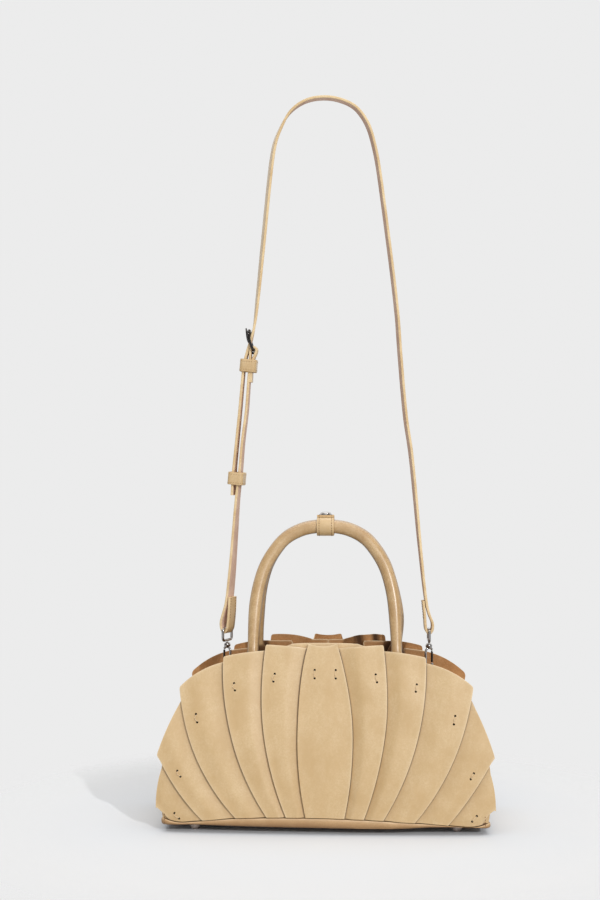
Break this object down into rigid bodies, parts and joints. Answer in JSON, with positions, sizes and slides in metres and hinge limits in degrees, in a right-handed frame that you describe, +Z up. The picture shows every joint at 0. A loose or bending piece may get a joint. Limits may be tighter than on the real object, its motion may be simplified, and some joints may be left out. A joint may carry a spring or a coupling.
{
  "type": "pleated dome satchel",
  "caption": "Open-topped leather dome satchel with fans of overlapping pleats, two rolled handles and a buckled shoulder strap on snap hooks.",
  "frame": {"origin": "on the ground below the middle of the bag, which stands on its four studs", "axes": "+Z up, front face of the bag towards -Y, +X to the right seen from the front"},
  "size_m": [0.2988, 0.1288, 0.66],
  "materials": {
    "tan_leather": "smooth semi-gloss vegetable-tanned leather",
    "flesh_leather": "matte flesh side of the same leather",
    "bright_metal": "polished nickel",
    "dark_metal": "polished gunmetal"
  },
  "bodies": {
    "bag": {"base_panel": "tan_leather", "foot_front_left": "bright_metal", "foot_front_right": "bright_metal", "foot_back_left": "bright_metal", "foot_back_right": "bright_metal", "front_wall": "flesh_leather", "back_wall": "flesh_leather", "gusset_left": "flesh_leather", "gusset_right": "flesh_leather", "front_pleat_centre": "tan_leather", "front_pleat_inner_left": "tan_leather", "front_pleat_inner_right": "tan_leather", "front_pleat_middle_left": "tan_leather", "front_pleat_middle_right": "tan_leather", "front_pleat_outer_left": "tan_leather", "front_pleat_outer_right": "tan_leather", "front_pleat_side_left": "tan_leather", "front_pleat_side_right": "tan_leather", "front_pleat_corner_left": "tan_leather", "front_pleat_corner_right": "tan_leather", "back_pleat_centre": "tan_leather", "back_pleat_inner_left": "tan_leather", "back_pleat_inner_right": "tan_leather", "back_pleat_middle_left": "tan_leather", "back_pleat_middle_right": "tan_leather", "back_pleat_outer_left": "tan_leather", "back_pleat_outer_right": "tan_leather", "back_pleat_side_left": "tan_leather", "back_pleat_side_right": "tan_leather", "back_pleat_corner_left": "tan_leather", "back_pleat_corner_right": "tan_leather", "front_handle": "tan_leather", "back_handle": "tan_leather", "handle_wrap": "tan_leather", "wrap_snap": "bright_metal", "strap_long": "tan_leather", "strap_short": "tan_leather", "buckle_frame": "dark_metal", "buckle_prong": "dark_metal", "keeper_upper": "tan_leather", "keeper_lower": "tan_leather", "ring_left": "bright_metal", "hook_left": "bright_metal", "d_ring_left": "bright_metal", "d_ring_tab_left": "tan_leather", "ring_right": "bright_metal", "hook_right": "bright_metal", "d_ring_right": "bright_metal", "d_ring_tab_right": "tan_leather"},
    "gate_left": {"gate_left": "dark_metal"},
    "gate_right": {"gate_right": "dark_metal"}
  },
  "joints": [
    {"name": "gate_left_hinge", "type": "hinge", "parent": "bag", "child": "gate_left", "pos_m": [-0.0941, 0.00203, 0.15327], "axis": [-0.5736, -0.8192, 0], "range_deg": [0, 25], "stiffness_Nm_per_rad": 0.01},
    {"name": "gate_right_hinge", "type": "hinge", "parent": "bag", "child": "gate_right", "pos_m": [0.0959, 0.00203, 0.15327], "axis": [-0.5736, 0.8192, 0], "range_deg": [0, 25], "stiffness_Nm_per_rad": 0.01}
  ]
}
